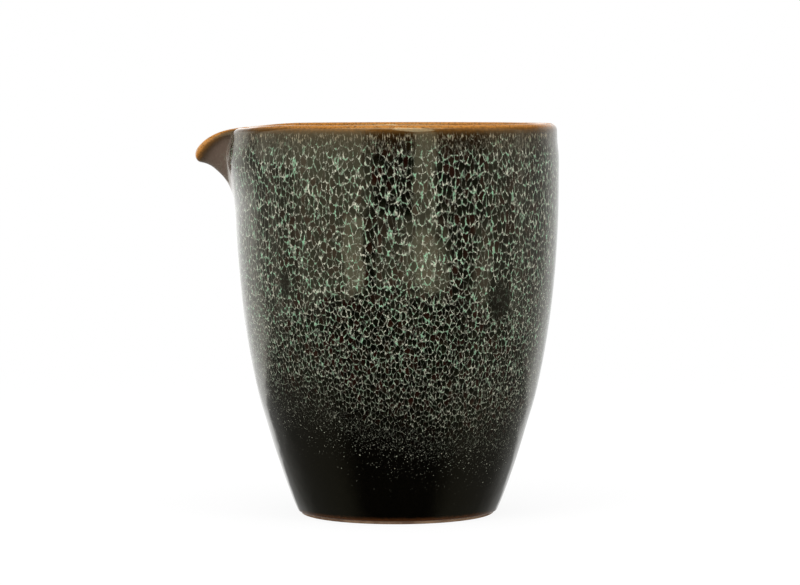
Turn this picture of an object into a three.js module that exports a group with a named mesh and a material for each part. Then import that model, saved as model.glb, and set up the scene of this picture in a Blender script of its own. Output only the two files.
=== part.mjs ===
// A glazed stoneware tea pitcher: a deep cup with a beak spout, a turned foot ring and no handle.
// Millimetres, +Z up, standing on its foot ring, with the spout towards -X.
import * as THREE from "three";
import { mergeVertices } from "three/addons/utils/BufferGeometryUtils.js";

// Clay cup, outside
const rimHeight = 89.6;
const bellyRadius = 36.75;
const bellyHeight = 80;
const rimTuck = 0.15;
const waistRadius = 23.7;
const wallFullness = 2.3;

// Clay cup, inside
const lipThickness = 2.4;
const lowerWallThickness = 3.6;
const floorThickness = 3.8;
const floorCornerRadius = 9;
const lipRounding = 1.1;

// Foot ring
const footHeight = 3.2;
const footRadius = 22.3;
const footRingWidth = 3.5;
const footRecessTaper = 0.6;

// Beak spout, pulled out of a notch in the wall
const spoutDepth = 20;
const spoutReach = 8.7;
const spoutDrop = 7.8;
const spoutHalfAngle = THREE.MathUtils.degToRad(12.5);
const spoutRootHalfAngle = THREE.MathUtils.degToRad(5);
const spoutShoulder = 1;
const spoutNoseHalfWidth = 2.5;
const spoutNoseRise = 1.4;
const spoutLipFall = 0.6;
const flankFullness = 0.6;
const keelRise = 6.3;
const keelUndercut = 0.9;
const keelForward = 0.4;
const rimDip = 0.8;
const rimDipAngle = THREE.MathUtils.degToRad(38);

// Glaze coats
const baseCoat = 0.5;
const topCoat = 0.3;
const bareFootHeight = 0.8;
const topCoatStart = 20;
const topCoatFade = 8;
const lipBandHeight = 0.9;
const topCoatGap = 1.2;

// How finely the round shapes are cut
const columns = 40;
const spoutColumns = 4;
const bareSteps = 2;
const wallSteps = 4;
const spoutSteps = 4;
const capSteps = 4;
const cornerSteps = 3;

const up = new THREE.Vector3(0, 0, 1);
const rimRadius = bellyRadius - rimTuck;
const notchHeight = rimHeight - spoutDepth;
const lipHeight = rimHeight - lipRounding;
const lerp = THREE.MathUtils.lerp;

// A point at a radius and an angle from the spout's direction.
function polar(radius, angle, height) {
  return new THREE.Vector3(-radius * Math.cos(angle), -radius * Math.sin(angle), height);
}

// The direction straight out from the axis.
function outward(point) {
  return new THREE.Vector3(point.x, point.y, 0).normalize();
}

// Heights from one to another, without the first.
function steps(from, to, count) {
  return Array.from({ length: count }, (unused, i) => lerp(from, to, (i + 1) / count));
}

// The outer radius of the clay, over the foot ring's bevel, the swelling wall and the upright upper wall.
function wallRadius(height) {
  if (height < footHeight) {
    return lerp(footRadius, waistRadius, height / footHeight);
  }
  if (height < bellyHeight) {
    const share = (height - footHeight) / (bellyHeight - footHeight);
    return waistRadius + (bellyRadius - waistRadius) * (1 - (1 - share) ** wallFullness);
  }
  return lerp(bellyRadius, rimRadius, ((height - bellyHeight) / (rimHeight - bellyHeight)) ** 2);
}

function wallThickness(height) {
  return lerp(lowerWallThickness, lipThickness, THREE.MathUtils.clamp(height / notchHeight, 0, 1));
}

// Half of the spout's columns lie on each side of its keel. They are narrow at the notch's bottom and spread
// out evenly by the foot.
function spoutAngle(height) {
  if (height > notchHeight) {
    return lerp(spoutRootHalfAngle, spoutHalfAngle, (height - notchHeight) / (lipHeight - notchHeight));
  }
  const evenAngle = (2 * Math.PI * spoutColumns) / columns;
  return lerp(evenAngle, spoutRootHalfAngle, Math.max(0, height - footHeight) / (notchHeight - footHeight));
}

// Column 0 is the spout's keel, and the columns go once round. Past halfway they count back to the keel.
function stepsFromKeel(column) {
  return column > columns / 2 ? column - columns : column;
}

function columnAngle(column, height) {
  const turned = stepsFromKeel(column);
  const creaseAngle = spoutAngle(height);
  const beside = Math.abs(turned) - spoutColumns;
  if (beside <= 0) {
    return (creaseAngle * turned) / spoutColumns;
  }
  const stepBeside = (Math.PI - creaseAngle) / (columns / 2 - spoutColumns);
  return Math.sign(turned) * (creaseAngle + stepBeside * beside);
}

// The wall above the notch's bottom, level 0, up to the lip, level 1, away from the spout. It dips and
// swells a little towards the spout.
function plainWall(column, level) {
  const angle = columnAngle(column, lerp(notchHeight, lipHeight, level));
  const nearness = THREE.MathUtils.smoothstep(spoutHalfAngle + rimDipAngle - Math.abs(angle), 0, rimDipAngle);
  const height = lerp(notchHeight, lipHeight - rimDip * nearness, level);
  const swelling = spoutShoulder * nearness ** 3 * level ** 2;
  return { on: polar(wallRadius(height) + swelling, angle, height), along: up };
}

// The spout's lip, from the crease at its side to the tip.
function spoutLip(side) {
  const crease = plainWall(side * spoutColumns, 1).on;
  const tip = new THREE.Vector3(-rimRadius - spoutReach, 0, rimHeight - spoutDrop);
  const besideTip = new THREE.Vector3(tip.x, -side * spoutNoseHalfWidth, tip.z + spoutNoseRise);
  const flank = crease.clone().lerp(besideTip, flankFullness).setZ(crease.z - spoutLipFall);
  return new THREE.CubicBezierCurve3(crease, flank, besideTip, tip);
}

const spoutLips = { left: spoutLip(1), right: spoutLip(-1) };

// The spout's wall at one column: up out of the cup's wall and forwards to the lip.
function spoutWall(column, level) {
  const turned = stepsFromKeel(column);
  const sideways = Math.abs(turned) / spoutColumns;
  const lipCurve = turned < 0 ? spoutLips.right : spoutLips.left;
  const lip = lipCurve.getPoint(1 - sideways);
  const root = plainWall(column, 0).on;
  const rise = root.clone().addScaledVector(up, keelRise);
  const approach = root.clone().lerp(lip, keelForward);
  approach.z = lip.z - lerp(keelUndercut, (lip.z - root.z) / 3, sideways);
  const curve = new THREE.CubicBezierCurve3(root, rise, approach, lip);
  return { on: curve.getPoint(level), along: curve.getTangent(level) };
}

function isInSpout(column) {
  return Math.abs(stepsFromKeel(column)) < spoutColumns;
}

function upperWall(column, level) {
  return isInSpout(column) ? spoutWall(column, level) : plainWall(column, level);
}

// The direction out of the wall, square to the line that runs up it.
function outOfWall(place) {
  const sideways = up.clone().cross(outward(place.on));
  return sideways.cross(place.along).normalize();
}

function insideOf(place) {
  return place.on.clone().addScaledVector(outOfWall(place), -lipThickness);
}

// Levels on the upper wall where coats end.
const bandLevel = 1 - lipBandHeight / (lipHeight - notchHeight);
const coatTopLevel = bandLevel - topCoatGap / (lipHeight - notchHeight);
const upperLevels = [...steps(0, coatTopLevel, spoutSteps), bandLevel, 1];
const lowerHeights = [
  ...steps(footHeight, topCoatStart, bareSteps),
  topCoatStart + topCoatFade,
  ...steps(topCoatStart + topCoatFade, notchHeight, wallSteps),
];
const footHeights = [0, bareFootHeight, footHeight];
const floorHeight = footHeight + floorThickness;
const cornerHeight = floorHeight + floorCornerRadius;
const innerHeights = steps(cornerHeight, notchHeight, wallSteps).reverse();

// The lip's round top, from outside to inside.
function cap(column) {
  const place = upperWall(column, 1);
  const inside = insideOf(place);
  const middle = place.on.clone().lerp(inside, 0.5);
  const across = place.on.clone().sub(middle);
  return steps(0, Math.PI, capSteps)
    .slice(0, -1)
    .map((turn) =>
      middle
        .clone()
        .addScaledVector(across, Math.cos(turn))
        .addScaledVector(place.along, lipRounding * Math.sin(turn)),
    );
}

function innerRadius(height) {
  return wallRadius(height) - wallThickness(height);
}

// The rounded corner between the inner wall and the floor, and the floor's middle.
function floorCorner(column) {
  const cornerRadius = innerRadius(cornerHeight);
  const round = steps(0, Math.PI / 2, cornerSteps).map((turn) => {
    const radius = cornerRadius - floorCornerRadius * (1 - Math.cos(turn));
    return polar(radius, columnAngle(column, 0), cornerHeight - floorCornerRadius * Math.sin(turn));
  });
  return [polar(cornerRadius, columnAngle(column, cornerHeight), cornerHeight), ...round];
}

// One column of the clay's surface, from the ground up the outside, over the lip and down to the floor.
function claySection(column) {
  const at = (radius, height) => polar(radius, columnAngle(column, height), height);
  const foot = footHeights.map((height) => at(wallRadius(height), height));
  const lower = lowerHeights.map((height) => at(wallRadius(height), height));
  const upper = upperLevels.map((level) => upperWall(column, level).on);
  const innerUpper = upperLevels.map((level) => insideOf(upperWall(column, level))).reverse();
  const innerLower = innerHeights.map((height) => at(innerRadius(height), height));
  const middle = new THREE.Vector3(0, 0, floorHeight);
  const outside = [...foot, ...lower, ...upper];
  const inside = [...innerUpper, ...innerLower, ...floorCorner(column), middle];
  return [...outside, ...cap(column), ...inside];
}

// Where the sections pass the places that pieces share.
const bareLine = footHeights.indexOf(bareFootHeight);
const footTop = footHeights.indexOf(footHeight);
const coatStart = footTop + bareSteps;
const notchBottom = footTop + lowerHeights.length;
const coatTop = notchBottom + spoutSteps;
const outerBand = coatTop + 1;
const innerBand = outerBand + capSteps + 2;
const innerNotchBottom = innerBand + spoutSteps + 1;

const clay = Array.from({ length: columns }, (unused, column) => claySection(column));
const lastStation = clay[0].length - 1;

// The direction out of the clay at a station, from its neighbours on the surface.
function surfaceNormal(column, station) {
  if (station === lastStation) {
    return up;
  }
  const ahead = clay[(column + 1) % columns][station];
  const behind = clay[(column + columns - 1) % columns][station];
  const after = clay[column][station + 1];
  const before = clay[column][Math.max(station - 1, 0)];
  return ahead.clone().sub(behind).cross(after.clone().sub(before)).normalize();
}

function coatSurface(thicknessAt) {
  return clay.map((section, column) =>
    section.map((point, station) =>
      point.clone().addScaledVector(surfaceNormal(column, station), thicknessAt(station)),
    ),
  );
}

function topCoatThickness(station) {
  return station > coatStart && station < coatTop ? topCoat : 0;
}

const baseSurface = coatSurface(() => baseCoat);
const topSurface = coatSurface((station) => baseCoat + topCoatThickness(station));

// A closed mesh from triangles, without those that have shrunk to a line.
function closedGeometry(triangles) {
  const whole = triangles.filter(([a, b, c]) => !a.equals(b) && !b.equals(c) && !c.equals(a));
  const geometry = new THREE.BufferGeometry().setFromPoints(whole.flat());
  const merged = mergeVertices(geometry, 1e-6);
  merged.computeVertexNormals();
  return merged;
}

// The faces between two rows of points, facing outwards where the rows lie side by side on a surface.
function strip(row, nextRow) {
  const faces = [];
  for (let k = 0; k + 1 < row.length; k += 1) {
    faces.push([row[k], nextRow[k], nextRow[k + 1]], [row[k], nextRow[k + 1], row[k + 1]]);
  }
  return faces;
}

function flipped(faces) {
  return faces.map(([a, b, c]) => [a, c, b]);
}

// The part of a surface that lies on a run of columns, between two stations.
function patch(surface, run, from, to) {
  return run.slice(1).flatMap((column, i) =>
    strip(surface[run[i]].slice(from, to + 1), surface[column].slice(from, to + 1)),
  );
}

// The edge between a station of one surface and a station of another, over a run of columns.
function edge(surface, from, otherSurface, to, run) {
  const across = (column) => [surface[column][from], otherSurface[column][to]];
  return run.slice(1).flatMap((column, i) => strip(across(run[i]), across(column)));
}

// A face laid across an outline like the rungs of a ladder.
function endFace(outline) {
  const faces = [];
  const last = outline.length - 1;
  for (let k = 0; k + 1 < last - k; k += 1) {
    const rungs = [outline[k], outline[k + 1], outline[last - k - 1], outline[last - k]];
    faces.push([rungs[0], rungs[1], rungs[2]], [rungs[0], rungs[2], rungs[3]]);
  }
  return faces;
}

// Columns from a first one on, round past the keel where they reach it.
function runOfColumns(first, count) {
  return Array.from({ length: count + 1 }, (unused, i) => (first + i) % columns);
}

const allRound = runOfColumns(0, columns);
const spoutRun = runOfColumns(columns - spoutColumns, 2 * spoutColumns);
const plainRun = runOfColumns(spoutColumns, columns - 2 * spoutColumns);

// A coat between two surfaces over a run of stations.
function coat(under, over, from, to) {
  return closedGeometry([
    ...patch(over, allRound, from, to),
    ...flipped(patch(under, allRound, from, to)),
    ...edge(under, from, over, from, allRound),
    ...flipped(edge(under, to, over, to, allRound)),
  ]);
}

// The spout's seams with the cup: one on each side and one below.
function spoutSeams() {
  const side = (column) => clay[column].slice(notchBottom, innerNotchBottom + 1);
  return [
    ...edge(clay, notchBottom, clay, innerNotchBottom, spoutRun),
    ...endFace(side(spoutRun.at(-1))),
    ...flipped(endFace(side(spoutRun[0]))),
  ];
}

function cupGeometry() {
  const underside = clay.map(() => [new THREE.Vector3(0, 0, footHeight)]);
  return closedGeometry([
    ...patch(clay, plainRun, footTop, lastStation),
    ...patch(clay, spoutRun, footTop, notchBottom),
    ...patch(clay, spoutRun, innerNotchBottom, lastStation),
    ...edge(underside, 0, clay, footTop, allRound),
    ...spoutSeams(),
  ]);
}

function spoutGeometry() {
  return closedGeometry([...patch(clay, spoutRun, notchBottom, innerNotchBottom), ...flipped(spoutSeams())]);
}

function footGeometry() {
  const outline = clay.map((section, column) => {
    const angle = columnAngle(column, 0);
    const recessRadius = footRadius - footRingWidth;
    const recess = [
      polar(recessRadius - footRecessTaper, angle, footHeight),
      polar(recessRadius, angle, 0),
    ];
    return [...section.slice(0, footTop + 1), ...recess, section[0]];
  });
  return closedGeometry(patch(outline, allRound, 0, outline[0].length - 1));
}

function material(color, roughness) {
  return new THREE.MeshStandardMaterial({ color, roughness, metalness: 0 });
}

const bareClay = material(0x9c7350, 0.85);
const innerClay = material(0x8a6346, 0.9);
const blackGlaze = material(0x17130f, 0.12);
const netGlaze = material(0x5f6450, 0.15);
const amberGlaze = material(0xc48a45, 0.15);

function piece(name, geometry, finish) {
  const mesh = new THREE.Mesh(geometry, finish);
  mesh.name = name;
  return mesh;
}

const pitcher = new THREE.Group();
pitcher.add(
  piece("clay_cup", cupGeometry(), innerClay),
  piece("clay_spout", spoutGeometry(), innerClay),
  piece("foot_ring", footGeometry(), bareClay),
  piece("outer_glaze", coat(clay, baseSurface, bareLine, outerBand), blackGlaze),
  piece("net_glaze", coat(baseSurface, topSurface, coatStart, coatTop), netGlaze),
  piece("lip_glaze", coat(clay, baseSurface, outerBand, innerBand), amberGlaze),
  piece("inner_glaze", coat(clay, baseSurface, innerBand, lastStation), blackGlaze),
);

// The origin is below the middle of the whole pitcher, spout included.
const bounds = new THREE.Box3().setFromObject(pitcher);
pitcher.position.x = -(bounds.min.x + bounds.max.x) / 2;

export default pitcher;
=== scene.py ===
import math

import bmesh
import bpy
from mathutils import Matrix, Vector


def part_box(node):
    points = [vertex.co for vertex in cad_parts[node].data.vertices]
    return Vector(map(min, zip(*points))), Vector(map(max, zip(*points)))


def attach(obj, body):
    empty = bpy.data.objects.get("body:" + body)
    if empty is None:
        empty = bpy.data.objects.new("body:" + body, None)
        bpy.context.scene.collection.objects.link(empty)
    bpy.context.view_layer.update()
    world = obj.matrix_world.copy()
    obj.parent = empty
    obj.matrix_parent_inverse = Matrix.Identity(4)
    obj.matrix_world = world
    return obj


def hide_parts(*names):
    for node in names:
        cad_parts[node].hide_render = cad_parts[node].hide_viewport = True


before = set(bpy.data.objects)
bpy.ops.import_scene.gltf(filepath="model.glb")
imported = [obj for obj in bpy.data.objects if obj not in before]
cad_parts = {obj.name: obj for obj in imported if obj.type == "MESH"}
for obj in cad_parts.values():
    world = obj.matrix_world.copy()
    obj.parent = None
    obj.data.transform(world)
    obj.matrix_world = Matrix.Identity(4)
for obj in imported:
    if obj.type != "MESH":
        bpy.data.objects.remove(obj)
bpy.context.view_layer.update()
print("frame loaded:", len(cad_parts), "CAD nodes")

millimetre = 0.001
footLow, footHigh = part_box("foot_ring")
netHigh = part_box("net_glaze")[1]
axisX = (footLow.x + footHigh.x) / 2

# The coats of glaze and the clay's shape, in millimetres from the cup's axis, as in the part's source
glaze = {
    "baseCoat": 0.5,
    "topCoat": 0.3,
    "featherEdge": 0.01,
    "bareFoot": 0.8,
    "topCoatStart": 20.0,
    "topCoatFade": 8.0,
    "lipBand": 0.9,
    "topCoatGap": 1.2,
    "topCoatTaper": 4.2,
    "beadRadius": 0.4,
}
cup = {
    "rimHeight": 89.6,
    "bellyRadius": netHigh.y / millimetre - (glaze["baseCoat"] + glaze["topCoat"]),  # fills the CAD box
    "bellyHeight": 80.0,
    "rimTuck": 0.15,
    "waistRadius": 23.7,
    "wallFullness": 2.3,
    "lipThickness": 2.4,
    "lowerWallThickness": 3.6,
    "floorThickness": 3.8,
    "floorCornerRadius": 9.0,
    "lipRounding": 1.1,
    "footHeight": 3.2,
    "footRadius": 22.3,
    "columns": 240,
}
spout = {
    "depth": 20.0,
    "reach": 8.6,
    "drop": 7.8,
    "halfAngle": math.radians(12.5),
    "rootHalfAngle": math.radians(5.0),
    "shoulder": 1.9,  # how far the neck of the spout stands out of the round wall
    "shoulderAtLip": 0.8,
    "shoulderLevels": (0.15, 0.8),
    "shoulderAngle": math.radians(52.0),
    "noseHalfWidth": 2.5,
    "noseRise": 1.4,
    "lipFall": 0.6,
    "flankFullness": 0.6,
    "keelRise": 6.3,
    "keelUndercut": 0.9,
    "keelForward": 0.4,
    "rimDip": 0.8,
    "rimDipAngle": math.radians(38.0),
    "share": 0.1,  # of the columns, on each side of the keel
    "meltAbove": 0.01,  # the crease melts in steps, each one lower and wider than the last
    "meltTop": (0.82, 0.35),
    "meltInner": (0.85, 0.45),
    "meltOuter": (1.06, 1.4),
    "meltSteps": 60,
}
# How the clay's skin is drawn: rows for each stretch of it, and distances in millimetres
skinBuild = {
    "footRows": 3,
    "lowerRows": 12,
    "wallRows": 32,
    "upperRows": 16,
    "bandRows": 2,
    "capRows": 14,
    "innerUpperRows": 14,
    "innerRows": 22,
    "cornerRows": 10,
    "floorRows": 5,
    "startRadius": 30.0,
    "lipToFloor": 20.0,
    "netAboveRim": 2.0,
    "netShiftInside": 40.0,
    "weldDistance": 1e-5,
    "sharpAngle": math.radians(50.0),
}
tiny = 1e-6
notchHeight = cup["rimHeight"] - spout["depth"]
lipHeight = cup["rimHeight"] - cup["lipRounding"]
rimRadius = cup["bellyRadius"] - cup["rimTuck"]
upright = Vector((0, 0, 1))


def between(low, high, share):
    return low + (high - low) * share


def clamped(value):
    return min(1.0, max(0.0, value))


def smoothStep(value, low, high):
    share = clamped((value - low) / (high - low))
    return share * share * (3 - 2 * share)


# A point at a radius and an angle from the spout's direction.
def polar(radius, angle, height):
    return Vector((-radius * math.cos(angle), -radius * math.sin(angle), height))


def curvePoint(points, share):
    a, b, c, d = points
    rest = 1 - share
    return a * rest ** 3 + b * 3 * rest ** 2 * share + c * 3 * rest * share ** 2 + d * share ** 3


def curveDirection(points, share):
    a, b, c, d = points
    rest = 1 - share
    along = (b - a) * rest ** 2 + (c - b) * 2 * rest * share + (d - c) * share ** 2
    return along.normalized()


def wallRadius(height):
    if height < cup["footHeight"]:
        return between(cup["footRadius"], cup["waistRadius"], height / cup["footHeight"])
    if height < cup["bellyHeight"]:
        share = (height - cup["footHeight"]) / (cup["bellyHeight"] - cup["footHeight"])
        swell = 1 - (1 - share) ** cup["wallFullness"]
        return between(cup["waistRadius"], cup["bellyRadius"], swell)
    share = (height - cup["bellyHeight"]) / (cup["rimHeight"] - cup["bellyHeight"])
    return between(cup["bellyRadius"], rimRadius, share ** 2)


def innerRadius(height):
    thickness = between(cup["lowerWallThickness"], cup["lipThickness"], clamped(height / notchHeight))
    return wallRadius(height) - thickness


# The columns on the spout are narrow at the notch's bottom and spread out evenly by the foot.
def creaseAngle(height):
    if height > notchHeight:
        share = (height - notchHeight) / (lipHeight - notchHeight)
        return between(spout["rootHalfAngle"], spout["halfAngle"], share)
    share = max(0.0, height - cup["footHeight"]) / (notchHeight - cup["footHeight"])
    return between(2 * math.pi * spout["share"], spout["rootHalfAngle"], share)


# turn is -0.5 to 0.5 of a full turn, counted in columns from the keel.
def columnAngle(turn, height):
    crease = creaseAngle(height)
    beside = abs(turn) - spout["share"]
    if beside <= 0:
        return crease * turn / spout["share"]
    angle = crease + (math.pi - crease) * beside / (0.5 - spout["share"])
    return math.copysign(angle, turn)


def creaseNearness(angle, reach):
    return smoothStep(spout["halfAngle"] + reach - abs(angle), 0, reach)


def plainWall(turn, level):
    angle = columnAngle(turn, between(notchHeight, lipHeight, level))
    dip = spout["rimDip"] * creaseNearness(angle, spout["rimDipAngle"])
    height = between(notchHeight, lipHeight - dip, level)
    return polar(wallRadius(height), angle, height), upright


def spoutLip(side):
    crease = plainWall(side * spout["share"], 1)[0]
    tip = Vector((-rimRadius - spout["reach"], 0, cup["rimHeight"] - spout["drop"]))
    besideTip = Vector((tip.x, -side * spout["noseHalfWidth"], tip.z + spout["noseRise"]))
    flank = crease.lerp(besideTip, spout["flankFullness"])
    flank.z = crease.z - spout["lipFall"]
    return crease, flank, besideTip, tip


spoutLips = {1: spoutLip(1), -1: spoutLip(-1)}


def spoutWall(turn, level):
    sideways = abs(turn) / spout["share"]
    lip = curvePoint(spoutLips[-1 if turn < 0 else 1], 1 - sideways)
    root = plainWall(turn, 0)[0]
    rise = root + upright * spout["keelRise"]
    approach = root.lerp(lip, spout["keelForward"])
    approach.z = lip.z - between(spout["keelUndercut"], (lip.z - root.z) / 3, sideways)
    curve = (root, rise, approach, lip)
    return curvePoint(curve, level), curveDirection(curve, level)


def upperWall(turn, level):
    if abs(turn) < spout["share"] - tiny:
        return spoutWall(turn, level)
    return plainWall(turn, level)


# The outside of the upper wall, which swells a little beside the spout.
def outerWall(turn, level):
    point, along = upperWall(turn, level)
    angle = columnAngle(turn, between(notchHeight, lipHeight, level))
    sideways = abs(turn) / spout["share"]
    beside = sideways ** 2 if sideways < 1 else creaseNearness(angle, spout["shoulderAngle"]) ** 2
    start, full = spout["shoulderLevels"]
    rise = smoothStep(level, start, full)
    rise *= between(1, spout["shoulderAtLip"], smoothStep(level, full, 1))
    return point + polar(spout["shoulder"] * rise * beside, angle, 0), along


def insideOf(point, along):
    outward = Vector((point.x, point.y, 0)).normalized()
    sideways = upright.cross(outward)
    return point - sideways.cross(along).normalized() * cup["lipThickness"]


# Rows of the skin, from the ground up the outside, over the lip and down inside to the floor's middle.
bandLevel = 1 - glaze["lipBand"] / (lipHeight - notchHeight)
coatTopLevel = bandLevel - glaze["topCoatGap"] / (lipHeight - notchHeight)
floorHeight = cup["footHeight"] + cup["floorThickness"]
cornerHeight = floorHeight + cup["floorCornerRadius"]


def rows(kind, low, high, count):
    return [(kind, between(low, high, (step + 1) / count)) for step in range(count)]


skinRows = [("wall", 0.0), ("wall", glaze["bareFoot"])]
skinRows += rows("wall", glaze["bareFoot"], cup["footHeight"], skinBuild["footRows"])
skinRows += rows("wall", cup["footHeight"], glaze["topCoatStart"], skinBuild["lowerRows"])
coatStartRow = len(skinRows) - 1
skinRows += rows("wall", glaze["topCoatStart"], notchHeight, skinBuild["wallRows"])
skinRows += rows("lip", 0, coatTopLevel, skinBuild["upperRows"])
coatTopRow = len(skinRows) - 1
skinRows += rows("lip", coatTopLevel, bandLevel, skinBuild["bandRows"])
outerBandRow = len(skinRows) - 1
skinRows += rows("lip", bandLevel, 1, skinBuild["bandRows"])
skinRows += rows("cap", 0, math.pi, skinBuild["capRows"])[:-1]
crestRow = len(skinRows) - skinBuild["capRows"] // 2
skinRows += [("innerLip", 1.0)] + rows("innerLip", 1, bandLevel, skinBuild["bandRows"])
innerBandRow = len(skinRows) - 1
skinRows += rows("innerLip", bandLevel, 0, skinBuild["innerUpperRows"])
skinRows += rows("innerWall", notchHeight, cornerHeight, skinBuild["innerRows"])
skinRows += rows("corner", 0, math.pi / 2, skinBuild["cornerRows"])
skinRows += rows("floor", 1, 0, skinBuild["floorRows"])
lastRow = len(skinRows) - 1
bareRow = 1


def clayPoint(turn, kind, value):
    if kind == "wall":
        return polar(wallRadius(value), columnAngle(turn, value), value)
    if kind == "lip":
        return outerWall(turn, value)[0]
    if kind == "innerLip":
        return insideOf(*upperWall(turn, value))
    if kind == "innerWall":
        return polar(innerRadius(value), columnAngle(turn, value), value)
    if kind == "cap":
        point, along = outerWall(turn, 1)
        inside = insideOf(*upperWall(turn, 1))
        middle = point.lerp(inside, 0.5)
        rise = along * cup["lipRounding"] * math.sin(value)
        return middle + (point - middle) * math.cos(value) + rise
    cornerRadius = innerRadius(cornerHeight)
    if kind == "corner":
        radius = cornerRadius - cup["floorCornerRadius"] * (1 - math.cos(value))
        height = cornerHeight - cup["floorCornerRadius"] * math.sin(value)
        return polar(radius, columnAngle(turn, 0), height)
    return polar((cornerRadius - cup["floorCornerRadius"]) * value, columnAngle(turn, 0), floorHeight)


# How many crystal cells there are to a millimetre, across and up the wall, at a height.
net = {
    "coarse": 0.92,
    "fine": 1.35,
    "fineBelow": 18.0,
    "coarseAbove": 68.0,
    "tall": 0.47,
    "closeUp": 0.0034,
}


def netPlace(point, height):
    share = smoothStep(height, net["fineBelow"], net["coarseAbove"])
    across = between(net["fine"], net["coarse"], share)
    upTheWall = net["tall"] * height - net["closeUp"] * max(0.0, net["coarseAbove"] - height) ** 2
    return Vector((point.x * across, point.y * across, upTheWall))


def spinRound(mesh, profile, steps):
    bmesh.ops.spin(
        mesh,
        geom=profile,
        cent=(0, 0, 0),
        axis=(0, 0, 1),
        angle=2 * math.pi,
        steps=steps,
        use_merge=True,
    )
    bmesh.ops.remove_doubles(mesh, verts=mesh.verts, dist=skinBuild["weldDistance"])


# Measures a column's points from the lip's crest, outwards and inwards, and places them in the net.
def measureFromCrest(line, fromLip, place):
    for step in (1, -1):
        along = line[crestRow:] if step > 0 else line[crestRow::-1]
        shift = skinBuild["netShiftInside"] if step > 0 else 0
        distance = 0.0
        last = along[0].co
        for vert in along:
            distance += (vert.co - last).length
            last = vert.co
            vert[fromLip] = distance
            height = cup["rimHeight"] + skinBuild["netAboveRim"] - distance
            vert[place] = netPlace(vert.co, height) + upright * shift


# The whole skin: a profile spun round the axis, then drawn out to the cup's and the spout's shape.
def claySkin():
    mesh = bmesh.new()
    rowOf = mesh.verts.layers.float.new("row")
    turnOf = mesh.verts.layers.float.new("turn")
    fromLip = mesh.verts.layers.float.new("fromLip")
    place = mesh.verts.layers.float_vector.new("netPlace")
    outward = mesh.verts.layers.float_vector.new("outward")
    below = None
    for row in range(len(skinRows)):
        radius = 0.0 if row == lastRow else skinBuild["startRadius"]
        vert = mesh.verts.new((-radius, 0, row))
        vert[rowOf] = row
        if below:
            mesh.edges.new((below, vert))
        below = vert
    spinRound(mesh, mesh.verts[:] + mesh.edges[:], cup["columns"])

    columns = {}
    for vert in mesh.verts:
        column = round(math.atan2(-vert.co.y, -vert.co.x) / (2 * math.pi) * cup["columns"])
        if round(vert[rowOf]) == lastRow:
            vert.co = (0, 0, floorHeight)
            vert[fromLip] = cup["rimHeight"] + skinBuild["lipToFloor"]
            vert[place] = netPlace(vert.co, 0)
            continue
        columns.setdefault(column % cup["columns"], []).append(vert)
    for column, line in columns.items():
        turn = column / cup["columns"]
        turn = turn - 1 if turn > 0.5 else turn
        line.sort(key=lambda vert: vert[rowOf])
        for vert in line:
            vert[turnOf] = turn
            vert.co = clayPoint(turn, *skinRows[round(vert[rowOf])])
        measureFromCrest(line, fromLip, place)

    meltCrease(mesh, rowOf, turnOf)
    mesh.normal_update()
    belly = max(mesh.faces, key=lambda face: abs(face.calc_center_median().y))
    if belly.normal.y * belly.calc_center_median().y < 0:
        bmesh.ops.reverse_faces(mesh, faces=mesh.faces)
        mesh.normal_update()
    for vert in mesh.verts:
        vert[outward] = vert.normal
    return mesh


# The crease beside the spout is sharp at the lip and melts away below it.
def meltCrease(mesh, rowOf, turnOf):
    beside = {}
    for vert in mesh.verts:
        kind, level = skinRows[round(vert[rowOf])]
        if kind in ("lip", "innerLip") and abs(vert[turnOf]) < 2 * spout["share"]:
            beside[vert] = (level, abs(vert[turnOf]) / spout["share"])
    for step in range(spout["meltSteps"]):
        share = step / spout["meltSteps"]
        top = between(*spout["meltTop"], share)
        inner = between(*spout["meltInner"], share)
        outer = between(*spout["meltOuter"], share)
        bmesh.ops.smooth_vert(
            mesh,
            verts=[
                vert
                for vert, (level, aside) in beside.items()
                if spout["meltAbove"] < level < top and inner < aside < outer
            ],
            factor=0.5,
            use_axis_x=True,
            use_axis_y=True,
            use_axis_z=False,
        )


def thicknessOf(row, coatName):
    if coatName != "net":
        return glaze["baseCoat"]
    kind, value = skinRows[row]
    height = value if kind == "wall" else between(notchHeight, lipHeight, value)
    top = between(notchHeight, lipHeight, coatTopLevel)
    rise = smoothStep(height, glaze["topCoatStart"], glaze["topCoatStart"] + glaze["topCoatFade"])
    fall = 1 - smoothStep(height, top - glaze["topCoatTaper"], top)
    return max(glaze["featherEdge"], glaze["topCoat"] * rise * fall)


def roundEdges(mesh, edges, radius, clamp):
    bmesh.ops.bevel(
        mesh,
        geom=edges,
        offset=radius,
        offset_type="OFFSET",
        affect="EDGES",
        segments=4,
        profile=0.5,
        material=-1,
        clamp_overlap=clamp,
    )


def finishPiece(mesh, name):
    bmesh.ops.scale(mesh, vec=(millimetre, millimetre, millimetre), verts=mesh.verts)
    bmesh.ops.translate(mesh, vec=(axisX, 0, 0), verts=mesh.verts)
    for face in mesh.faces:
        face.smooth = True
    for edge in mesh.edges:
        edge.smooth = len(edge.link_faces) == 2 and edge.calc_face_angle(0) < skinBuild["sharpAngle"]
    data = bpy.data.meshes.new(name)
    mesh.to_mesh(data)
    mesh.free()
    piece = bpy.data.objects.new(name, data)
    bpy.context.scene.collection.objects.link(piece)
    return piece


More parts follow.
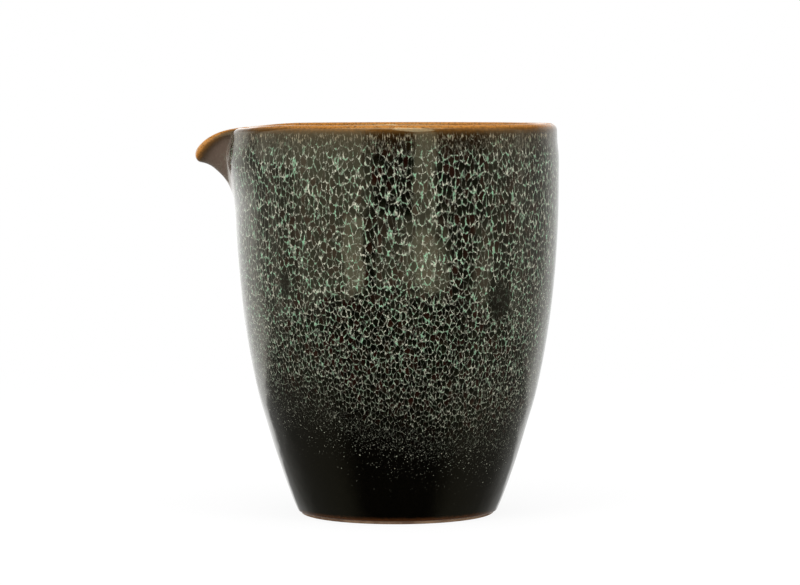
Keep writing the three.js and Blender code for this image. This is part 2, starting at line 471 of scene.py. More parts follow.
# One coat: a stretch of the skin, lifted off its clay or its base coat and closed into a thin shell.
def coatShell(name, coatName, firstRow, endRow, under, bead=False):
    mesh = skin.copy()
    rowOf = mesh.verts.layers.float["row"]
    outward = mesh.verts.layers.float_vector["outward"]
    outside = [v for v in mesh.verts if not firstRow <= round(v[rowOf]) <= endRow]
    bmesh.ops.delete(mesh, geom=outside, context="VERTS")
    for vert in mesh.verts:
        vert.co += vert[outward] * under
    shell = bmesh.ops.extrude_face_region(mesh, geom=mesh.faces[:], use_keep_orig=True)
    lifted = [item for item in shell["geom"] if isinstance(item, bmesh.types.BMVert)]
    for vert in lifted:
        vert.co += vert[outward] * thicknessOf(round(vert[rowOf]), coatName)
    bmesh.ops.recalc_face_normals(mesh, faces=mesh.faces)
    if bead:
        onRim = {vert for vert in lifted if round(vert[rowOf]) == firstRow}
        rim = [edge for edge in mesh.edges if onRim.issuperset(edge.verts)]
        roundEdges(mesh, rim, glaze["beadRadius"], clamp=True)
    return finishPiece(mesh, name)


skin = claySkin()
outerGlaze = coatShell("outerGlaze", "base", bareRow, outerBandRow, 0, bead=True)
netGlaze = coatShell("netGlaze", "net", coatStartRow, coatTopRow, glaze["baseCoat"])
lipGlaze = coatShell("lipGlaze", "base", outerBandRow, innerBandRow, 0)
innerGlaze = coatShell("innerGlaze", "base", innerBandRow, lastRow, 0)
skin.free()
print("glaze coats made")

# Foot ring, in millimetres
foot = {
    "width": 3.5,
    "recessTaper": 0.6,
    "wear": 0.35,
    "onGround": 0.01,
    "sharpAngle": 0.3,
    "columns": 160,
}


def footRing():
    mesh = bmesh.new()
    recess = cup["footRadius"] - foot["width"]
    outline = [
        (cup["waistRadius"], cup["footHeight"]),
        (cup["footRadius"], 0.0),
        (recess, 0.0),
        (recess - foot["recessTaper"], cup["footHeight"]),
    ]
    corners = [mesh.verts.new((radius, 0, height)) for radius, height in outline]
    edges = [mesh.edges.new(pair) for pair in zip(corners, corners[1:] + corners[:1])]
    spinRound(mesh, corners + edges, foot["columns"])
    bmesh.ops.recalc_face_normals(mesh, faces=mesh.faces)
    sharp = [edge for edge in mesh.edges if edge.calc_face_angle(0) > foot["sharpAngle"]]
    low = [edge for edge in sharp if all(vert.co.z < foot["onGround"] for vert in edge.verts)]
    roundEdges(mesh, low, foot["wear"], clamp=False)
    return finishPiece(mesh, "footRing")


footPiece = footRing()
print("foot ring made")


def addNode(tree, kind, inputs=None, **settings):
    made = tree.nodes.new(kind)
    for name, value in settings.items():
        setattr(made, name, value)
    for key, value in (inputs or {}).items():
        if isinstance(value, bpy.types.NodeSocket):
            tree.links.new(value, made.inputs[key])
        else:
            made.inputs[key].default_value = value
    return made


def calc(tree, operation, first, second=0.0, third=0.0, clamp=False):
    inputs = {0: first, 1: second, 2: third}
    return addNode(tree, "ShaderNodeMath", inputs, operation=operation, use_clamp=clamp).outputs[0]


def times(tree, first, second):
    return calc(tree, "MULTIPLY", first, second)


# A value moved up and down by a noise, which lies round a half.
def shaken(tree, value, fac, amount):
    return calc(tree, "MULTIPLY_ADD", calc(tree, "SUBTRACT", fac, 0.5), amount, value)


def vectorCalc(tree, operation, first, second=(0.0, 0.0, 0.0), third=(0.0, 0.0, 0.0)):
    inputs = {0: first, 1: second, 2: third}
    return addNode(tree, "ShaderNodeVectorMath", inputs, operation=operation).outputs


def blend(tree, factor, first, second):
    inputs = {0: factor, 6: first, 7: second}
    return addNode(tree, "ShaderNodeMix", inputs, data_type="RGBA", clamp_factor=True).outputs[2]


def blendValue(tree, factor, first, second):
    inputs = {0: factor, 2: first, 3: second}
    return addNode(tree, "ShaderNodeMix", inputs, data_type="FLOAT").outputs[0]


def ranged(tree, value, low, high, start=0.0, end=1.0, smooth=True):
    inputs = {"Value": value, "From Min": low, "From Max": high, "To Min": start, "To Max": end}
    curve = "SMOOTHSTEP" if smooth else "LINEAR"
    return addNode(tree, "ShaderNodeMapRange", inputs, interpolation_type=curve, clamp=True).outputs[0]


def ramp(tree, value, stops):
    made = addNode(tree, "ShaderNodeValToRGB", {"Fac": value})
    elements = made.color_ramp.elements
    while len(elements) < len(stops):
        elements.new(0.5)
    for element, (position, colour) in zip(elements, stops):
        element.position = position
        element.color = colour
    return made.outputs["Color"]


def noise(tree, place, scale, detail=2.0, roughness=0.5, output="Fac"):
    inputs = {"Vector": place, "Scale": scale, "Detail": detail, "Roughness": roughness}
    return addNode(tree, "ShaderNodeTexNoise", inputs).outputs[output]


def stretched(tree, place, scale):
    return addNode(tree, "ShaderNodeMapping", {"Vector": place, "Scale": scale}).outputs[0]


# The place in millimetres from the cup's own axis.
def millimetrePlace(tree):
    coords = addNode(tree, "ShaderNodeTexCoord").outputs["Object"]
    inputs = {
        "Vector": coords,
        "Location": (-axisX / millimetre, 0, 0),
        "Scale": (1 / millimetre, 1 / millimetre, 1 / millimetre),
    }
    return addNode(tree, "ShaderNodeMapping", inputs).outputs[0]


# A colour as it is seen on screen, turned into the linear one that a shader takes.
def tone(red, green, blue):
    def linear(part):
        part = part / 255
        return part / 12.92 if part <= 0.04045 else ((part + 0.055) / 1.055) ** 2.4
    return (linear(red), linear(green), linear(blue), 1.0)


def newGroup(name, inputs, outputs):
    tree = bpy.data.node_groups.new(name, "ShaderNodeTree")
    for socketName, kind in inputs:
        tree.interface.new_socket(name=socketName, in_out="INPUT", socket_type=kind)
    for socketName, kind in outputs:
        tree.interface.new_socket(name=socketName, in_out="OUTPUT", socket_type=kind)
    start = tree.nodes.new("NodeGroupInput")
    end = tree.nodes.new("NodeGroupOutput")
    return tree, start.outputs, end.inputs


# The net's own place counts in cells, and a noise is given by its scale, detail and roughness.
netPattern = {
    "bends": ((0.7, 0.65), (2.0, 0.36), (4.5, 0.22)),  # scale, and how far the cells are bent
    "bendDetail": (2.0, 0.55),
    "cellScale": 0.98,
    "cellScatter": 0.92,
    "cellLowerPart": (-0.3, 0.55),
    "lineStrength": 1.35,
    "patches": (2.1, 3.0, 0.62),
    "nicks": (5.0, 2.0, 0.6),
    "strandStretch": (1.7, 1.7, 0.3),
    "strands": (1.0, 1.0),
    "pools": (1.1, 3.0, 0.65),
    "poolReach": 0.12,
}


# The pale crystal net: thin broken lines round dark cells, with mint pools on the lines.
def crystalNetGroup():
    tree, given, out = newGroup(
        "crystalNet",
        [("Place", "NodeSocketVector"), ("Line Width", "NodeSocketFloat")],
        [
            ("Line", "NodeSocketFloat"),
            ("Pool", "NodeSocketFloat"),
            ("Lower Part", "NodeSocketFloat"),
            ("Cell", "NodeSocketFloat"),
        ],
    )
    place = given["Place"]
    bent = place
    for scale, amount in netPattern["bends"]:
        wobble = noise(tree, place, scale, *netPattern["bendDetail"], "Color")
        shift = vectorCalc(tree, "SUBTRACT", wobble, (0.5, 0.5, 0.5))[0]
        bent = vectorCalc(tree, "MULTIPLY_ADD", shift, (amount, amount, amount), bent)[0]
    height = addNode(tree, "ShaderNodeSeparateXYZ", {0: bent}).outputs["Z"]

    # scallops, each paler towards its lower edge, where its line is brightest
    spots = {"Vector": bent, "Scale": netPattern["cellScale"], "Randomness": netPattern["cellScatter"]}
    edges = addNode(tree, "ShaderNodeTexVoronoi", spots, feature="DISTANCE_TO_EDGE").outputs["Distance"]
    edges = calc(tree, "DIVIDE", edges, netPattern["cellScale"])
    cell = addNode(tree, "ShaderNodeTexVoronoi", spots, feature="F1").outputs
    centre = addNode(tree, "ShaderNodeSeparateXYZ", {0: cell["Position"]}).outputs["Z"]
    lower = ranged(tree, calc(tree, "SUBTRACT", centre, height), *netPattern["cellLowerPart"])
    random = addNode(tree, "ShaderNodeSeparateColor", {0: cell["Color"]}).outputs[0]
    patches = noise(tree, place, *netPattern["patches"])
    width = times(tree, given["Line Width"], ranged(tree, patches, 0.35, 0.65, 0.75, 1.25))
    width = times(tree, width, calc(tree, "MULTIPLY_ADD", lower, 0.8, 0.6))
    nicks = noise(tree, place, *netPattern["nicks"])
    width = times(tree, width, ranged(tree, nicks, 0.36, 0.64, 0.5, 1.4))
    fallen = times(tree, calc(tree, "DIVIDE", edges, width), netPattern["lineStrength"])
    line = calc(tree, "SUBTRACT", netPattern["lineStrength"], fallen, clamp=True)
    line = times(tree, line, ranged(tree, patches, 0.4, 0.64, 0.08, 1.0))
    upStretched = stretched(tree, bent, netPattern["strandStretch"])
    strand = ranged(tree, noise(tree, upStretched, *netPattern["strands"]), 0.46, 0.6, 0.2, 1.0)
    lit = calc(tree, "MAXIMUM", lower, strand)
    tree.links.new(times(tree, line, lit), out["Line"])

    # pools gather here and there along the lines
    poolPlace = ranged(tree, noise(tree, place, *netPattern["pools"]), 0.48, 0.61)
    near = calc(tree, "SUBTRACT", 1.0, calc(tree, "DIVIDE", edges, netPattern["poolReach"]), clamp=True)
    tree.links.new(times(tree, poolPlace, times(tree, near, lit)), out["Pool"])
    tree.links.new(lower, out["Lower Part"])
    tree.links.new(random, out["Cell"])
    return tree


netLook = {
    "line": tone(205, 206, 185),
    "mint": tone(130, 206, 160),
    "veil": tone(70, 68, 50),
    "black": tone(4, 3, 2),
    "cell": tone(4, 4, 2),
    "olive": tone(9, 12, 5),
    "maroon": tone(28, 8, 4),
    "bark": tone(18, 13, 7),
    "streak": tone(172, 150, 114),
    "beak": tone(108, 91, 80),
    "speck": tone(58, 34, 14),
    "thinEdge": tone(74, 42, 20),
}

# Where the glaze changes, in millimetres: heights, places along X or distances from the lip or middle
glazePlaces = {
    "linesWiden": (20.0, 64.0),
    "linesBrighten": (16.0, 52.0),
    "mintGathers": (22.0, 46.0),
    "fadeRises": (16.0, -32.0),
    "fadeHeights": (10.0, 20.0),
    "netStarts": (-3.0, 22.0),  # above the ragged edge, as the two below it are
    "specksThin": (-9.0, 8.0),
    "specksEnd": (3.0, 12.0),
    "lipIsBare": (1.3, 2.6),
    "streaksEnd": (1.0, 7.0),
    "beakStarts": (-36.2, -38.4),
    "beakHeights": (66.0, 78.0),
    "beakSides": (6.5, 11.0),
    "beakUnderLip": (1.1, 3.8),
    "amberEnds": (2.0, 9.0),
    "amberRamp": (0.0, 12.0),
    "lipSpecks": (0.7, 1.6),
    "thinEdge": (1.3, 2.4),
    "crest": (0.1, 0.7),
}
lineWidths = (0.068, 0.083)
streakStretch = (3.2, 3.2, 0.85)

# Noises by scale to a millimetre, detail and roughness, and how far they shake an edge, in millimetres
glazeNoise = {
    "roll": (0.06, 2.0),
    "ragged": (0.45, 4.0, 0.7),
    "dust": (2.6, 2.0, 0.6),
    "specks": (2.6, 1.0),
    "haze": (0.5, 2.0),
    "streaks": (1.0, 3.0, 0.6),
    "mottled": (1.4, 4.0, 0.65),
    "lipSpecks": (2.4, 2.0),
    "waves": (0.12, 2.0),
}
shake = {"roll": 5.0, "edge": 7.0, "blotch": 2.4, "beak": 4.0, "streaks": 14.0, "lip": 0.9}
glazeRelief = {"Strength": 0.35, "Distance": 0.0006}
glazeShine = {"IOR": 1.5, "Specular Tint": (1.0, 0.95, 0.6, 1.0)}

# Places where the second coat is missing, in millimetres from the cup's axis
blotches = [
    {"place": (23.2, -27.7, 50.8), "size": (2.7, 3.2, 4.4)},
    {"place": (-24.9, -26.7, 54.6), "size": (1.4, 1.8, 2.4)},
]


# How high a place is above the net's ragged lower edge, which runs lower away from the spout.
def heightAboveEdge(tree, inMillimetres, parts, ragged):
    roll = noise(tree, inMillimetres, *glazeNoise["roll"])
    edge = ranged(tree, parts["X"], *glazePlaces["fadeRises"], *glazePlaces["fadeHeights"])
    aboveEdge = calc(tree, "SUBTRACT", parts["Z"], shaken(tree, edge, roll, shake["roll"]))
    return shaken(tree, aboveEdge, ragged, shake["edge"])


# How much of the net is left: it thins out cell by cell towards its lower edge, and at the blotches.
def netLeft(tree, given, crystals, inMillimetres, ragged, aboveEdge):
    cover = ranged(tree, aboveEdge, *glazePlaces["netStarts"])
    dust = noise(tree, inMillimetres, *glazeNoise["dust"])
    gaps = calc(tree, "MULTIPLY_ADD", crystals["Cell"], 0.45, ranged(tree, dust, 0.32, 0.68, 0.0, 0.75))
    kept = ranged(tree, calc(tree, "SUBTRACT", times(tree, cover, 1.5), gaps), 0.0, 0.3)
    kept = times(tree, kept, calc(tree, "MULTIPLY_ADD", cover, 0.6, 0.4))
    kept = calc(tree, "MAXIMUM", kept, calc(tree, "SUBTRACT", 1.0, given["Foot Fade"]))
    for blotch in blotches:
        away = vectorCalc(tree, "SUBTRACT", inMillimetres, blotch["place"])[0]
        shrunk = tuple(1 / size for size in blotch["size"])
        away = vectorCalc(tree, "LENGTH", vectorCalc(tree, "MULTIPLY", away, shrunk)[0])["Value"]
        away = shaken(tree, away, ragged, shake["blotch"])
        kept = times(tree, kept, ranged(tree, away, 0.7, 1.3, 0.14, 1.0))
    return times(tree, kept, given["Net Amount"])


# The spout's flanks, where the glaze is plain brown.
def beakMask(tree, parts, ragged):
    along = ranged(tree, parts["X"], *glazePlaces["beakStarts"])
    onBeak = times(tree, along, ranged(tree, parts["Z"], *glazePlaces["beakHeights"]))
    fromMiddle = shaken(tree, calc(tree, "ABSOLUTE", parts["Y"]), ragged, shake["beak"])
    return times(tree, onBeak, ranged(tree, fromMiddle, *glazePlaces["beakSides"], 1.0, 0.0))


# Specks of the net that are left below its edge.
def lowSpeckMask(tree, given, crystals, inMillimetres, aboveEdge):
    speckNoise = noise(tree, inMillimetres, *glazeNoise["specks"])
    speckBar = ranged(tree, aboveEdge, *glazePlaces["specksThin"], 0.8, 0.56, smooth=False)
    specks = ranged(tree, calc(tree, "SUBTRACT", speckNoise, speckBar), 0.0, 0.06, 0.0, 0.85)
    specks = times(tree, specks, ranged(tree, crystals["Line"], 0.0, 0.6, 0.08, 1.0))
    specks = times(tree, specks, ranged(tree, aboveEdge, *glazePlaces["specksEnd"], 1.0, 0.0))
    return times(tree, specks, given["Foot Fade"])


# The whole glaze: amber on the lip, brown under it, the net over the wall and plain black near the foot.
def meltedGlazeGroup(netGroup):
    tree, given, out = newGroup(
        "meltedGlaze",
        [("Net Amount", "NodeSocketFloat"), ("Foot Fade", "NodeSocketFloat")],
        [("Color", "NodeSocketColor"), ("Roughness", "NodeSocketFloat"), ("Height", "NodeSocketFloat")],
    )
    place = addNode(tree, "ShaderNodeAttribute", attribute_name="netPlace").outputs["Vector"]
    lipDepth = addNode(tree, "ShaderNodeAttribute", attribute_name="fromLip").outputs["Fac"]
    inMillimetres = millimetrePlace(tree)
    parts = addNode(tree, "ShaderNodeSeparateXYZ", {0: inMillimetres}).outputs
    lineWidth = ranged(tree, parts["Z"], *glazePlaces["linesWiden"], *lineWidths)
    netInputs = {"Place": place, "Line Width": lineWidth}
    crystals = addNode(tree, "ShaderNodeGroup", netInputs, node_tree=netGroup).outputs
    ragged = noise(tree, inMillimetres, *glazeNoise["ragged"])
    aboveEdge = heightAboveEdge(tree, inMillimetres, parts, ragged)
    kept = netLeft(tree, given, crystals, inMillimetres, ragged, aboveEdge)
    onBeak = beakMask(tree, parts, ragged)

    # cells, from black to olive, maroon and brown
    cellColour = ramp(
        tree,
        crystals["Cell"],
        [
            (0.0, netLook["cell"]),
            (0.38, netLook["olive"]),
            (0.62, netLook["cell"]),
            (0.78, netLook["maroon"]),
            (0.9, netLook["bark"]),
        ],
    )
    haze = noise(tree, place, *glazeNoise["haze"])
    lowerVeil = times(tree, crystals["Lower Part"], ranged(tree, haze, 0.35, 0.62))
    cellColour = blend(tree, times(tree, lowerVeil, 0.15), cellColour, netLook["veil"])
    colour = blend(tree, kept, netLook["black"], cellColour)

    # lines with mint pools, and upright streaks in their place under the rim
    mintAmount = ranged(tree, parts["Z"], *glazePlaces["mintGathers"], 0.3, 1.0)
    minty = times(tree, crystals["Pool"], mintAmount)
    lineColour = blend(tree, minty, netLook["line"], netLook["mint"])
    lineMask = calc(tree, "MAXIMUM", crystals["Line"], times(tree, minty, 0.75))
    lineMask = times(tree, lineMask, ranged(tree, parts["Z"], *glazePlaces["linesBrighten"], 0.72, 1.0))
    streaks = noise(tree, stretched(tree, inMillimetres, streakStretch), *glazeNoise["streaks"])
    streaks = ranged(tree, streaks, 0.48, 0.63)
    raggedLip = shaken(tree, lipDepth, ragged, shake["streaks"])
    nearLip = ranged(tree, raggedLip, *glazePlaces["streaksEnd"], 1.0, 0.0)
    lineMask = blendValue(tree, nearLip, lineMask, times(tree, streaks, 0.78))
    lineColour = blend(tree, times(tree, nearLip, 0.75), lineColour, netLook["streak"])
    belowLip = ranged(tree, lipDepth, *glazePlaces["lipIsBare"])
    belowLip = times(tree, belowLip, calc(tree, "MULTIPLY_ADD", onBeak, -0.85, 1.0))
    lineMask = times(tree, lineMask, times(tree, kept, belowLip))
    lowSpecks = lowSpeckMask(tree, given, crystals, inMillimetres, aboveEdge)
    lineMask = calc(tree, "MAXIMUM", lineMask, lowSpecks)
    colour = blend(tree, times(tree, onBeak, 0.8), colour, netLook["beak"])
    colour = blend(tree, lineMask, colour, lineColour)

    # amber and brown round the lip
    mottled = noise(tree, inMillimetres, *glazeNoise["mottled"])
    lipDistance = shaken(tree, lipDepth, mottled, shake["lip"])
    lipColour = ramp(
        tree,
        ranged(tree, lipDistance, *glazePlaces["amberRamp"], smooth=False),
        [
            (0.0, tone(198, 136, 62)),
            (0.07, tone(178, 118, 52)),
            (0.10, tone(116, 78, 36)),
            (0.14, tone(74, 50, 21)),
            (0.19, tone(46, 31, 12)),
            (0.30, tone(28, 18, 7)),
        ],
    )
    underBeak = times(tree, onBeak, ranged(tree, lipDistance, *glazePlaces["beakUnderLip"], 0.0, 0.7))
    lipColour = blend(tree, underBeak, lipColour, netLook["beak"])
    lipMask = ranged(tree, lipDistance, *glazePlaces["amberEnds"], 1.0, 0.0)
    betweenLines = times(tree, lipMask, calc(tree, "SUBTRACT", 1.0, lineMask))
    colour = blend(tree, betweenLines, colour, lipColour)
    specks = ranged(tree, noise(tree, inMillimetres, *glazeNoise["lipSpecks"]), 0.57, 0.63)
    specks = times(tree, specks, ranged(tree, lipDepth, *glazePlaces["lipSpecks"], 0.75, 0.0))
    colour = blend(tree, specks, colour, netLook["speck"])

    # thin brown edge where the glaze stops above the bare clay
    upFromEdge = calc(tree, "ADD", mottled, parts["Z"])
    thin = ranged(tree, upFromEdge, *glazePlaces["thinEdge"], 1.0, 0.0)
    thin = times(tree, thin, given["Foot Fade"])
    colour = blend(tree, thin, colour, netLook["thinEdge"])
    tree.links.new(colour, out["Color"])

    gloss = ranged(tree, lineMask, 0.0, 1.0, 0.07, 0.18)
    crest = ranged(tree, lipDepth, *glazePlaces["crest"], 0.3, 0.0)
    tree.links.new(calc(tree, "ADD", gloss, crest), out["Roughness"])
    waves = noise(tree, inMillimetres, *glazeNoise["waves"])
    tree.links.new(calc(tree, "MULTIPLY_ADD", lineMask, 0.06, waves), out["Height"])
    return tree


clayLook = {
    "clay": tone(168, 138, 110),
    "dark": tone(120, 90, 66),
    "grit": tone(88, 62, 44),
    "roughness": (0.8, 0.92),
    "rings": {"Scale": 0.32, "Distortion": 1.2, "Detail": 2.0, "Detail Scale": 0.4},
    "patches": (0.18, 4.0, 0.6),
    "grain": (4.0, 3.0, 0.7),
    "gritNoise": (2.1, 2.0),
    "relief": {"Strength": 0.5, "Distance": 0.0002},
}


# Bare fired clay: turning rings, grit and patches of tone.
def firedClayGroup():
    tree, given, out = newGroup(
        "firedClay",
        [("Ring Depth", "NodeSocketFloat")],
        [("Color", "NodeSocketColor"), ("Roughness", "NodeSocketFloat"), ("Height", "NodeSocketFloat")],
    )
    inMillimetres = millimetrePlace(tree)
    rings = addNode(
        tree,
        "ShaderNodeTexWave",
        {"Vector": inMillimetres, **clayLook["rings"]},
        wave_type="RINGS",
        rings_direction="Z",
    ).outputs["Fac"]
    patches = noise(tree, inMillimetres, *clayLook["patches"])
    grain = noise(tree, inMillimetres, *clayLook["grain"])
    grit = ranged(tree, noise(tree, inMillimetres, *clayLook["gritNoise"]), 0.66, 0.74)
    colour = blend(tree, ranged(tree, patches, 0.35, 0.7), clayLook["clay"], clayLook["dark"])
    colour = blend(tree, times(tree, rings, 0.25), colour, clayLook["dark"])
    colour = blend(tree, times(tree, grit, 0.6), colour, clayLook["grit"])
    tree.links.new(colour, out["Color"])
    tree.links.new(ranged(tree, grain, 0.3, 0.7, *clayLook["roughness"]), out["Roughness"])
    turned = times(tree, rings, given["Ring Depth"])
    tree.links.new(calc(tree, "MULTIPLY_ADD", grain, 0.5, turned), out["Height"])
    return tree


def newMaterial(name, group, inputs, relief, shine):
    material = bpy.data.materials.new(name)
    material.use_nodes = True
    tree = material.node_tree
    tree.nodes.clear()
    look = addNode(tree, "ShaderNodeGroup", inputs, node_tree=group).outputs
    bump = addNode(tree, "ShaderNodeBump", {"Height": look["Height"], **relief})
    surface = {"Base Color": look["Color"], "Roughness": look["Roughness"], "Normal": bump.outputs[0]}
    shader = addNode(tree, "ShaderNodeBsdfPrincipled", {**surface, **shine})
    addNode(tree, "ShaderNodeOutputMaterial", {"Surface": shader.outputs[0]})
    return material


def glazeMaterial(name, netAmount, footFade):
    inputs = {"Net Amount": netAmount, "Foot Fade": footFade}
    return newMaterial(name, meltedGlaze, inputs, glazeRelief, glazeShine)


def clayMaterial(name, ringDepth):
    return newMaterial(name, firedClay, {"Ring Depth": ringDepth}, clayLook["relief"], shine={})


meltedGlaze = meltedGlazeGroup(crystalNetGroup())
firedClay = firedClayGroup()
outerGlaze.data.materials.append(glazeMaterial("darkGlaze", netAmount=1.0, footFade=1.0))
netGlaze.data.materials.append(glazeMaterial("netGlaze", netAmount=1.0, footFade=1.0))
lipGlaze.data.materials.append(glazeMaterial("amberGlaze", netAmount=1.0, footFade=0.0))
innerGlaze.data.materials.append(glazeMaterial("insideGlaze", netAmount=0.85, footFade=0.0))
footPiece.data.materials.append(clayMaterial("turnedFootClay", ringDepth=0.8))
bodyClay = clayMaterial("bodyClay", ringDepth=1.0)
for nodeName in ("clay_cup", "clay_spout"):
    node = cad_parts[nodeName]
    node.data.materials.clear()
    node.data.materials.append(bodyClay)
print("materials made")

for piece, nodeName, slotName in (
    (outerGlaze, "outer_glaze", "dark_glaze"),
    (netGlaze, "net_glaze", "net_glaze"),
    (lipGlaze, "lip_glaze", "lip_glaze"),
    (innerGlaze, "inner_glaze", "dark_glaze"),
    (footPiece, "foot_ring", "bare_clay"),
):
    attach(piece, "root")
    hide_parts(nodeName)

# Floor, light and camera, in metres and degrees
studio = {
    "floorRadius": 0.6,
    "floorWhiteFrom": 0.12,
    "floorWhiteBy": 0.4,
    "floorPale": 0.82,
    "floorShaded": 0.12,
    "floorGlow": 0.89,
    "roomLight": 0.55,
    "cameraPlace": (0.00539, -0.745, 0.098),
    "cameraPitch": 3.607,
    "cameraRoll": 0.14,
    "lens": 145.1,
    "lampsAimAt": 0.045,
}


def grey(level):
    return (level, level, level, 1.0)


# The camera sees a floor that turns white away from the pitcher, and other rays meet a plain pale one.
def paleFloor():
    mesh = bmesh.new()
    bmesh.ops.create_circle(mesh, cap_ends=True, segments=96, radius=studio["floorRadius"])
    data = bpy.data.meshes.new("paleFloor")
    mesh.to_mesh(data)
    mesh.free()
    floor = bpy.data.objects.new("paleFloor", data)
    bpy.context.scene.collection.objects.link(floor)
    material = bpy.data.materials.new("paleFloor")
    material.use_nodes = True
    tree = material.node_tree
    tree.nodes.clear()
    coords = addNode(tree, "ShaderNodeTexCoord").outputs["Object"]
    away = vectorCalc(tree, "LENGTH", coords)["Value"]
    whiteness = ranged(tree, away, studio["floorWhiteFrom"], studio["floorWhiteBy"])
    card = addNode(tree, "ShaderNodeBsdfDiffuse", {"Color": grey(studio["floorPale"])}).outputs[0]
    softCard = addNode(tree, "ShaderNodeBsdfDiffuse", {"Color": grey(studio["floorShaded"])}).outputs[0]
    glowInputs = {"Color": grey(1), "Strength": studio["floorGlow"]}
    glow = addNode(tree, "ShaderNodeEmission", glowInputs).outputs[0]
    white = addNode(tree, "ShaderNodeEmission", {"Color": grey(1), "Strength": 1.0}).outputs[0]
    shadowed = addNode(tree, "ShaderNodeAddShader", {0: softCard, 1: glow}).outputs[0]
    seen = addNode(tree, "ShaderNodeMixShader", {0: whiteness, 1: shadowed, 2: white}).outputs[0]
    isSeen = addNode(tree, "ShaderNodeLightPath").outputs["Is Camera Ray"]
    front = addNode(tree, "ShaderNodeMixShader", {0: isSeen, 1: card, 2: seen}).outputs[0]
    clear = addNode(tree, "ShaderNodeBsdfTransparent").outputs[0]
    backSide = addNode(tree, "ShaderNodeNewGeometry").outputs["Backfacing"]
    both = addNode(tree, "ShaderNodeMixShader", {0: backSide, 1: front, 2: clear}).outputs[0]
    addNode(tree, "ShaderNodeOutputMaterial", {"Surface": both})
    data.materials.append(material)
    floor.visible_glossy = False
    return floor


floor = paleFloor()

# What the gloss mirrors: bright cards by azimuth and elevation in degrees, 0 towards the camera.
cards = [
    {"from": -76, "to": -23, "low": -14.4, "high": 56, "soft": 1.5, "level": 0.68},
    {"from": -104, "to": -23, "low": -1.8, "high": 56, "soft": 1.4, "level": 0.58},
    {"from": -38, "to": -24, "low": -14.4, "high": -6.0, "soft": 1.8, "level": 1.35},
    {"from": -23, "to": -16, "low": -6.0, "high": 30, "soft": 1.5, "level": 0.45},
    {"from": 12, "to": 28, "low": -14.4, "high": 14, "soft": 1.5, "level": 0.9},
    {"from": 12, "to": 28, "low": -2.4, "high": 14, "soft": 1.5, "level": 0.65},
    {"from": 4, "to": 36, "low": -14.4, "high": -7.0, "soft": 2.0, "level": 1.1},
    {"from": -15, "to": 4, "low": -14.4, "high": -7.0, "soft": 2.0, "level": 0.52},
    {"from": 30, "to": 62, "low": -14.4, "high": 56, "soft": 1.5, "level": 0.08},
    {"from": 58, "to": 70, "low": -14.4, "high": -7.0, "soft": 2.0, "level": 0.6},
    {"from": 62, "to": 100, "low": -14.4, "high": 56, "soft": 2.0, "level": 0.3},
    {"from": 66, "to": 104, "low": -1.8, "high": 56, "soft": 2.0, "level": 0.24},
    {"from": -100, "to": -76, "low": -14.4, "high": 56, "soft": 2.0, "level": 0.36},
    {"from": -80, "to": 80, "low": 60, "high": 95, "soft": 5.0, "level": 3.0},
]
roundLamp = {
    "azimuth": 16.0,
    "elevation": 76.0,
    "halfWidth": 20.0,
    "halfHeight": 62.0,
    "edge": (0.85, 1.05),
    "level": 4.5,
}
# Where the pale walls and the ground begin and end, by azimuth or elevation in degrees
room = {
    "rightWall": (120, 148),
    "leftWall": (-108, -127),
    "leftWallLow": (-8, -2),
    "wallsStart": (90, 100),
    "wallsEnd": (12, 30),
    "groundBeside": (36, 76),
    "groundBehind": (110, 160),
    "tableEdge": (-16, -13),
}


def cardGroup():
    names = ["Azimuth", "Elevation", "From", "To", "Low", "High", "Soft", "Level"]
    tree, given, out = newGroup(
        "brightCard",
        [(name, "NodeSocketFloat") for name in names],
        [("Light", "NodeSocketFloat")],
    )

    def softStep(value, edge, start, end):
        before = calc(tree, "SUBTRACT", edge, given["Soft"])
        after = calc(tree, "ADD", edge, given["Soft"])
        return ranged(tree, value, before, after, start, end)

    def within(value, low, high):
        return times(tree, softStep(value, low, 0.0, 1.0), softStep(value, high, 1.0, 0.0))

    across = within(given["Azimuth"], given["From"], given["To"])
    upwards = within(given["Elevation"], given["Low"], given["High"])
    area = times(tree, across, upwards)
    tree.links.new(times(tree, area, given["Level"]), out["Light"])
    return tree


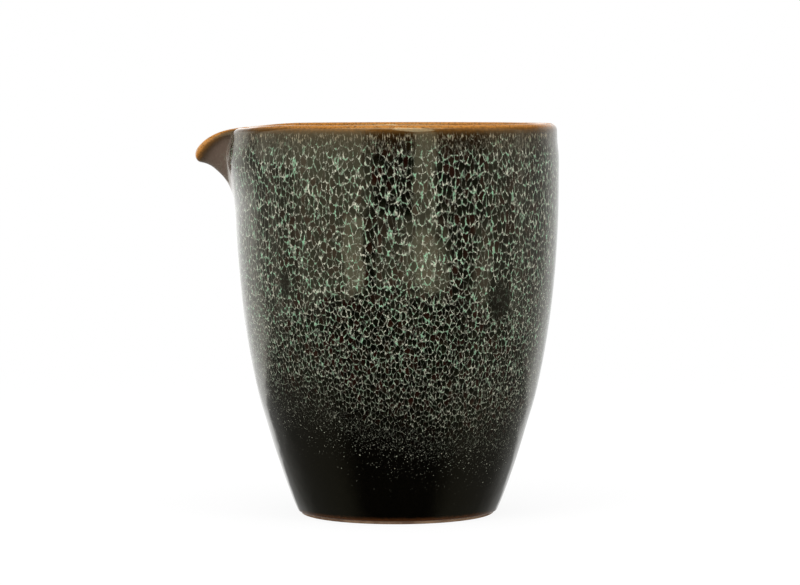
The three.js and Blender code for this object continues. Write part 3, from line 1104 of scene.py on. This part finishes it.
def studioWorld():
    world = bpy.data.worlds.new("studio")
    bpy.context.scene.world = world
    world.use_nodes = True
    tree = world.node_tree
    tree.nodes.clear()
    direction = addNode(tree, "ShaderNodeTexCoord").outputs["Generated"]
    parts = addNode(tree, "ShaderNodeSeparateXYZ", {0: direction}).outputs
    towardsCamera = times(tree, parts["Y"], -1.0)
    azimuth = calc(tree, "DEGREES", calc(tree, "ARCTAN2", parts["X"], towardsCamera))
    elevation = calc(tree, "DEGREES", calc(tree, "ARCSINE", parts["Z"]))
    sideways = calc(tree, "ABSOLUTE", azimuth)
    rightWall = ranged(tree, azimuth, *room["rightWall"], 0.44, 1.0)
    leftWall = ranged(tree, azimuth, *room["leftWall"])
    leftWall = times(tree, leftWall, ranged(tree, elevation, *room["leftWallLow"], 0.9, 1.15))
    wall = calc(tree, "ADD", rightWall, leftWall)
    wall = times(tree, wall, ranged(tree, sideways, *room["wallsStart"]))
    wall = times(tree, wall, ranged(tree, elevation, *room["wallsEnd"], 1.0, 0.12))
    ground = ranged(tree, sideways, *room["groundBeside"], 0.012, 0.15)
    ground = calc(tree, "ADD", ground, ranged(tree, sideways, *room["groundBehind"], 0.0, 0.3))
    aboveTable = ranged(tree, elevation, *room["tableEdge"])
    mirrored = blendValue(tree, aboveTable, ground, wall)
    group = cardGroup()
    for card in cards:
        inputs = {"Azimuth": azimuth, "Elevation": elevation}
        inputs.update({key.capitalize(): value for key, value in card.items()})
        card = addNode(tree, "ShaderNodeGroup", inputs, node_tree=group).outputs[0]
        mirrored = calc(tree, "ADD", mirrored, card)
    across = calc(tree, "SUBTRACT", azimuth, roundLamp["azimuth"])
    across = calc(tree, "DIVIDE", across, roundLamp["halfWidth"])
    upwards = calc(tree, "SUBTRACT", elevation, roundLamp["elevation"])
    upwards = calc(tree, "DIVIDE", upwards, roundLamp["halfHeight"])
    fromMiddle = calc(tree, "ADD", times(tree, across, across), times(tree, upwards, upwards))
    lampLight = ranged(tree, fromMiddle, *roundLamp["edge"], roundLamp["level"], 0.0)
    mirrored = calc(tree, "ADD", mirrored, lampLight)
    lightPath = addNode(tree, "ShaderNodeLightPath").outputs
    glossy = calc(tree, "MAXIMUM", lightPath["Is Glossy Ray"], lightPath["Is Transmission Ray"])
    level = blendValue(tree, glossy, studio["roomLight"], mirrored)
    level = blendValue(tree, lightPath["Is Camera Ray"], level, 1.0)
    shown = addNode(tree, "ShaderNodeBackground", {"Color": grey(1), "Strength": level})
    addNode(tree, "ShaderNodeOutputWorld", {"Surface": shown.outputs[0]})


studioWorld()

lamps = [
    {"name": "topLamp", "place": (0.0, -0.1, 0.95), "size": 0.9, "power": 4.2},
    {"name": "leftLamp", "place": (-0.75, -0.75, 0.55), "size": 0.6, "power": 5.0},
    {"name": "rightLamp", "place": (0.8, -0.6, 0.45), "size": 0.5, "power": 3.4},
]
for lamp in lamps:
    data = bpy.data.lights.new(lamp["name"], "AREA")
    data.shape = "DISK"
    data.size = lamp["size"]
    data.energy = lamp["power"]
    made = bpy.data.objects.new(lamp["name"], data)
    made.location = lamp["place"]
    aim = Vector((axisX, 0, studio["lampsAimAt"])) - made.location
    made.rotation_euler = aim.to_track_quat("-Z", "Y").to_euler()
    made.visible_camera = False
    made.visible_glossy = False
    bpy.context.scene.collection.objects.link(made)

cameraData = bpy.data.cameras.new("camera")
cameraData.lens = studio["lens"]
cameraData.sensor_width = 36
cameraData.clip_start = 0.01
camera = bpy.data.objects.new("camera", cameraData)
camera.location = studio["cameraPlace"]
pitch = math.radians(90 - studio["cameraPitch"])
camera.rotation_euler = (pitch, math.radians(studio["cameraRoll"]), 0)
bpy.context.scene.collection.objects.link(camera)
bpy.context.scene.camera = camera
bpy.context.scene.view_settings.view_transform = "Standard"
print("floor, light and camera placed")
